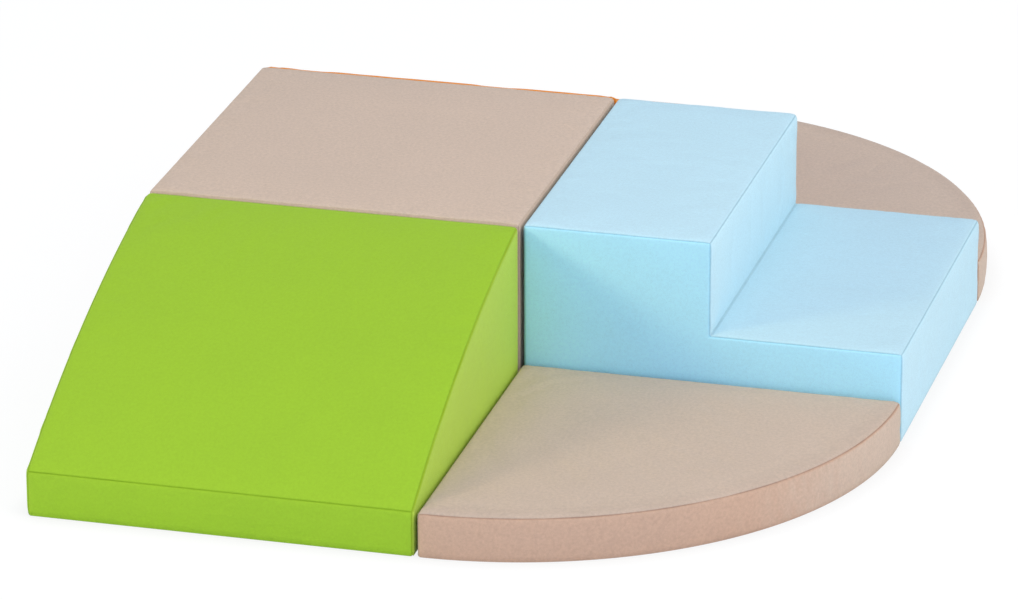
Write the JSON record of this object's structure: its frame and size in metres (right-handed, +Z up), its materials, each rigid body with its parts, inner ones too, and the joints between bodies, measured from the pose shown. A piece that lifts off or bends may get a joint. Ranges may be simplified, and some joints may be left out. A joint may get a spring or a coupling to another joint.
{
  "type": "soft play foam climber",
  "caption": "Low toddler climber of covered foam blocks: square platform, bulged ramp, dipped slide, two step stair and quarter round mats, held together by hook and loop strips.",
  "frame": {"origin": "on the floor, in the middle of the whole set's outline", "axes": "+X to the right of the platform, towards the stair; +Y away from the viewer, from ramp to slide; +Z up"},
  "size_m": [1.2174, 1.8184, 0.304],
  "materials": {
    "cover_beige": "matt coated cloth",
    "cover_green": "matt coated cloth",
    "cover_blue": "matt coated cloth",
    "cover_orange": "matt coated cloth",
    "foam": "cut open foam",
    "base": "non-slip dotted cloth",
    "zip_tape": "woven tape with a coil chain",
    "zip_slider": "nickel",
    "hook": "hook tape",
    "loop": "loop tape"
  },
  "bodies": {
    "platform": {"platform_cover": "cover_beige", "platform_base": "base", "platform_foam": "foam", "platform_zip": "zip_tape", "platform_hook_strip_front": "hook", "platform_hook_strip_right": "hook", "platform_hook_strip_back": "hook"},
    "ramp": {"ramp_cover": "cover_green", "ramp_base": "base", "ramp_foam": "foam", "ramp_zip": "zip_tape", "ramp_loop_strip_back": "loop", "ramp_hook_strip_right": "hook"},
    "slide": {"slide_cover": "cover_orange", "slide_base": "base", "slide_foam": "foam", "slide_zip": "zip_tape", "slide_loop_strip_back": "loop", "slide_hook_strip_left": "hook"},
    "stair": {"stair_cover": "cover_blue", "stair_base": "base", "stair_foam_lower": "foam", "stair_foam_upper": "foam", "stair_zip": "zip_tape", "stair_loop_strip_left": "loop", "stair_hook_strip_front": "hook", "stair_hook_strip_back": "hook"},
    "front_mat": {"front_mat_cover": "cover_beige", "front_mat_base": "base", "front_mat_foam": "foam", "front_mat_zip": "zip_tape", "front_mat_loop_strip_left": "loop", "front_mat_loop_strip_front": "loop"},
    "back_mat": {"back_mat_cover": "cover_beige", "back_mat_base": "base", "back_mat_foam": "foam", "back_mat_zip": "zip_tape", "back_mat_loop_strip_left": "loop", "back_mat_loop_strip_front": "loop"},
    "platform_slider": {"platform_zip_slider": "zip_slider"},
    "ramp_slider": {"ramp_zip_slider": "zip_slider"},
    "slide_slider": {"slide_zip_slider": "zip_slider"},
    "stair_slider": {"stair_zip_slider": "zip_slider"},
    "front_mat_slider": {"front_mat_zip_slider": "zip_slider"},
    "back_mat_slider": {"back_mat_zip_slider": "zip_slider"}
  },
  "joints": [
    {"name": "ramp_pulls_away", "type": "slide", "parent": "platform", "child": "ramp", "axis": [0, -1, 0], "range_m": [0, 0.4]},
    {"name": "slide_pulls_away", "type": "slide", "parent": "platform", "child": "slide", "axis": [0, 1, 0], "range_m": [0, 0.4]},
    {"name": "stair_pulls_away", "type": "slide", "parent": "platform", "child": "stair", "axis": [1, 0, 0], "range_m": [0, 0.4]},
    {"name": "front_mat_pulls_away", "type": "slide", "parent": "platform", "child": "front_mat", "axis": [0.7071, -0.7071, 0], "range_m": [0, 0.4]},
    {"name": "back_mat_pulls_away", "type": "slide", "parent": "platform", "child": "back_mat", "axis": [0.7071, 0.7071, 0], "range_m": [0, 0.4]},
    {"name": "platform_zip_runs", "type": "slide", "parent": "platform", "child": "platform_slider", "axis": [0, 1, 0], "range_m": [0, 0.5]},
    {"name": "ramp_zip_runs", "type": "slide", "parent": "ramp", "child": "ramp_slider", "axis": [1, 0, 0], "range_m": [0, 0.5]},
    {"name": "slide_zip_runs", "type": "slide", "parent": "slide", "child": "slide_slider", "axis": [-1, 0, 0], "range_m": [0, 0.5]},
    {"name": "stair_zip_runs", "type": "slide", "parent": "stair", "child": "stair_slider", "axis": [0, 1, 0], "range_m": [0, 0.5]},
    {"name": "front_mat_zip_runs", "type": "slide", "parent": "front_mat", "child": "front_mat_slider", "axis": [0, -1, 0], "range_m": [0, 0.5]},
    {"name": "back_mat_zip_runs", "type": "slide", "parent": "back_mat", "child": "back_mat_slider", "axis": [1, 0, 0], "range_m": [0, 0.5]}
  ]
}
